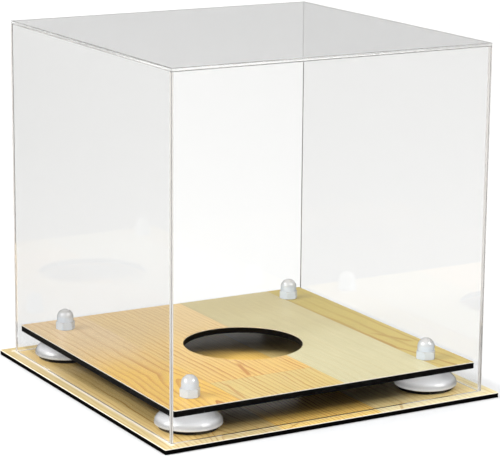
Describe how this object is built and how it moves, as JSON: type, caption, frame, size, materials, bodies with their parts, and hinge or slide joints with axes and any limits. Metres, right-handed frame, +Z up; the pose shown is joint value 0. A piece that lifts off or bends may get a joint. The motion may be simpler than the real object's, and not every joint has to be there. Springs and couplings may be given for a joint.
{
  "type": "bowling ball display case",
  "caption": "Square wood-grain base and raised platform with a round ball seat on white riser feet, under a clear acrylic cover that lifts off.",
  "frame": {"origin": "middle of the base board's underside, on the surface the case stands on", "axes": "+Z up, -Y the front wall and +X the right wall"},
  "size_m": [0.272, 0.272, 0.2575],
  "materials": {
    "clear_acrylic": "polished",
    "wood_laminate": "gloss",
    "black_core": "satin",
    "white_plastic": "gloss",
    "black_rubber": "matte",
    "zinc_steel": "satin"
  },
  "bodies": {
    "base": {"base_board": "black_core", "base_wood_laminate": "wood_laminate"},
    "platform": {"platform_board": "black_core", "platform_wood_laminate": "wood_laminate", "riser_foot_front_left": "white_plastic", "riser_pad_front_left": "black_rubber", "riser_stud_front_left": "zinc_steel", "riser_cap_nut_front_left": "white_plastic", "riser_foot_front_right": "white_plastic", "riser_pad_front_right": "black_rubber", "riser_stud_front_right": "zinc_steel", "riser_cap_nut_front_right": "white_plastic", "riser_foot_rear_left": "white_plastic", "riser_pad_rear_left": "black_rubber", "riser_stud_rear_left": "zinc_steel", "riser_cap_nut_rear_left": "white_plastic", "riser_foot_rear_right": "white_plastic", "riser_pad_rear_right": "black_rubber", "riser_stud_rear_right": "zinc_steel", "riser_cap_nut_rear_right": "white_plastic"},
    "cover": {"cover_front_panel": "clear_acrylic", "cover_rear_panel": "clear_acrylic", "cover_left_panel": "clear_acrylic", "cover_right_panel": "clear_acrylic", "cover_top_panel": "clear_acrylic"}
  },
  "joints": [
    {"name": "cover_lift", "type": "slide", "parent": "base", "child": "cover", "axis": [0, 0, 1], "range_m": [0, 0.26]},
    {"name": "platform_lift", "type": "slide", "parent": "base", "child": "platform", "axis": [0, 0, 1], "range_m": [0, 0.12]}
  ]
}
